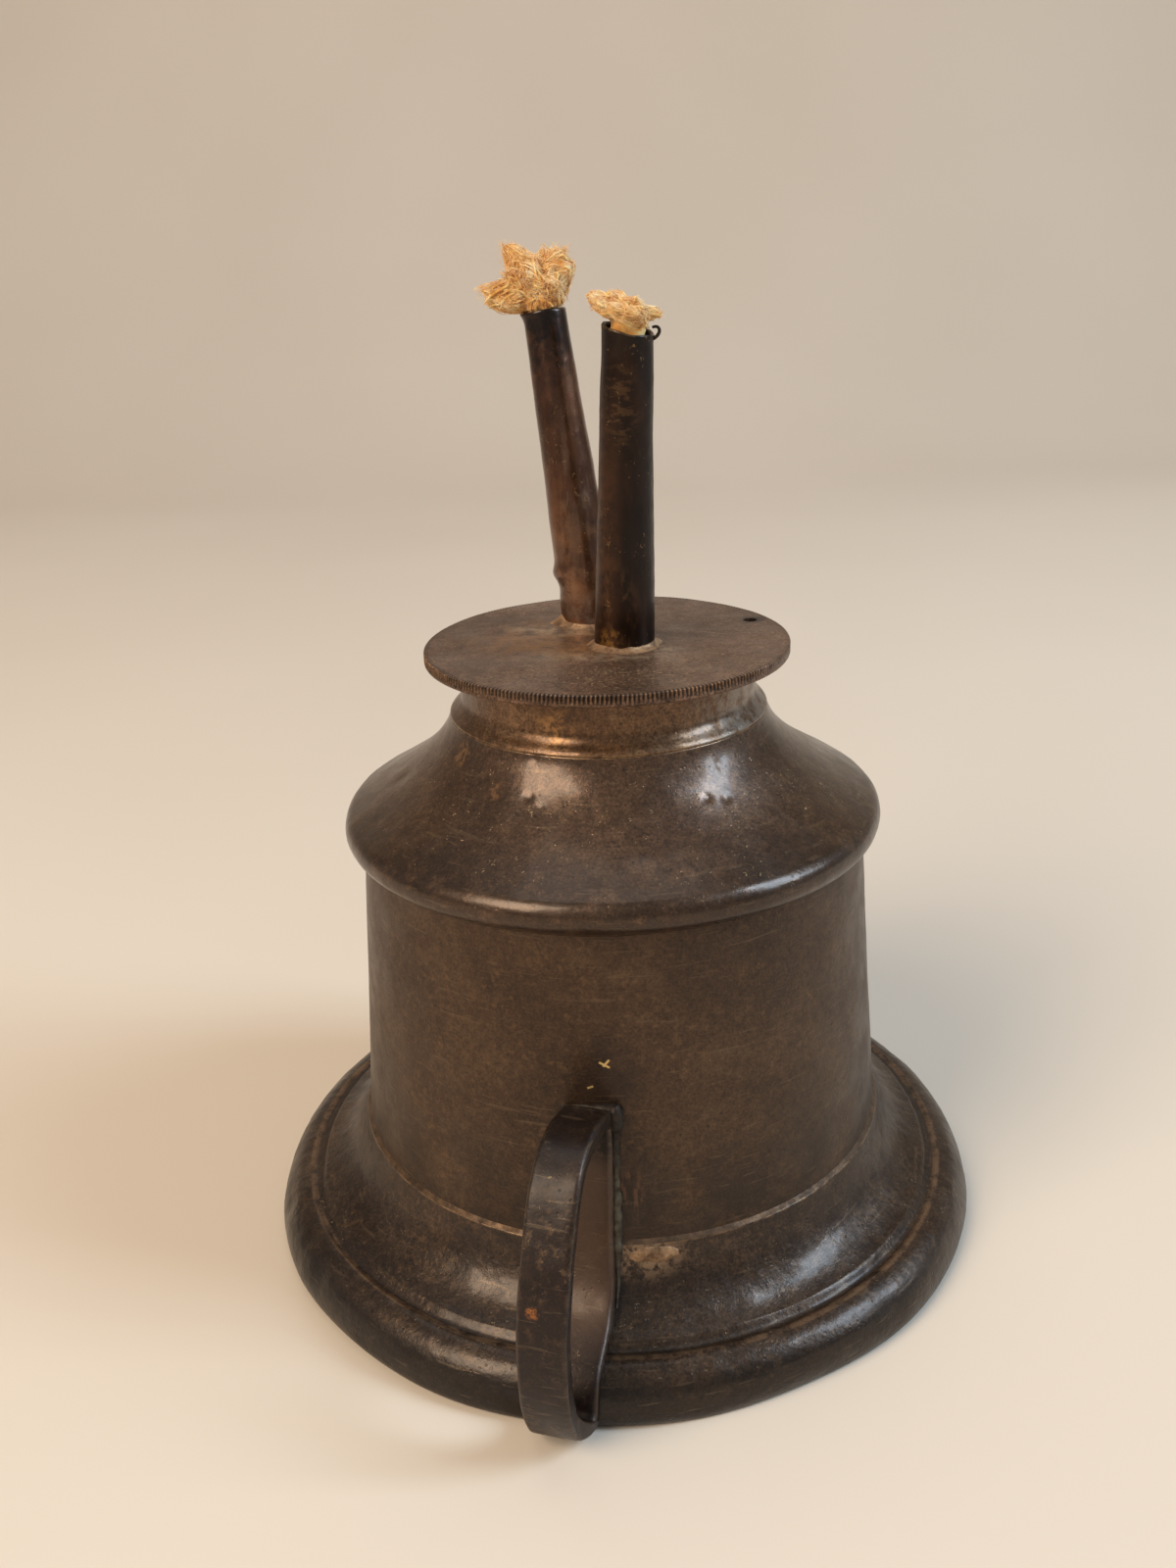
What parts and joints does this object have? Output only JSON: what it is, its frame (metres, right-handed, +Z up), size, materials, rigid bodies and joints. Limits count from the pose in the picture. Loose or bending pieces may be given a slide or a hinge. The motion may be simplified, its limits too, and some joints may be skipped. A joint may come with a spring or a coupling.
{
  "type": "finger lamp",
  "caption": "Small pewter fluid lamp: flared foot, drum font, screw-in burner disc with slanting wick tubes and cotton wicks, and a strap finger ring.",
  "frame": {"origin": "centre of the foot, on the surface that the lamp stands on", "axes": "+Z up along the lamp's axis; -Y is the front, where the finger ring stands out; +X to the right seen from the front"},
  "size_m": [0.0908, 0.0974, 0.1193],
  "materials": {
    "dark_pewter": "old pewter with a dark brown-grey oxide skin, satin with soft gloss on the rolled rim and foot, small dents and specks",
    "worn_pewter": "pewter worn paler where the burner is screwed and unscrewed, mottled",
    "front_tube_metal": "sheet metal tube, soot-dark brown with greenish and tan mottling near the mouth",
    "back_tube_metal": "sheet metal tube, copper-brown patina with a soft sheen",
    "solder": "soft solder, pale grey to tan, uneven and matt",
    "leather": "thin oiled washer",
    "cotton": "loose cotton wick, frayed, cream to amber"
  },
  "bodies": {
    "lamp": {"foot": "dark_pewter", "font_wall": "dark_pewter", "font_floor": "worn_pewter", "shoulder": "dark_pewter", "collar": "worn_pewter", "finger_ring": "dark_pewter", "foot_solder": "solder", "rim_solder": "solder", "floor_solder": "solder", "neck_solder": "solder", "ring_solder": "solder", "repair_patch": "solder"},
    "washer": {"washer": "leather"},
    "burner": {"burner_disc": "dark_pewter", "screw_plug": "worn_pewter", "plug_solder": "solder", "front_tube": "front_tube_metal", "back_tube": "back_tube_metal", "front_tube_solder": "solder", "back_tube_solder": "solder"},
    "front_wick": {"front_wick": "cotton"},
    "back_wick": {"back_wick": "cotton"}
  },
  "joints": [
    {"name": "burner_lift", "type": "slide", "parent": "lamp", "child": "washer", "axis": [0, 0, 1], "range_m": [0, 0.065]},
    {"name": "burner_turn", "type": "hinge", "parent": "washer", "child": "burner", "pos_m": [0, 0, 0.0737], "axis": [0, 0, 1], "range_deg": [0, 1080]},
    {"name": "front_wick_feed", "type": "slide", "parent": "burner", "child": "front_wick", "axis": [0.0344, -0.0705, 0.9969], "range_m": [0, 0.01]},
    {"name": "back_wick_feed", "type": "slide", "parent": "burner", "child": "back_wick", "axis": [-0.1175, 0.1058, 0.9874], "range_m": [0, 0.01]}
  ]
}
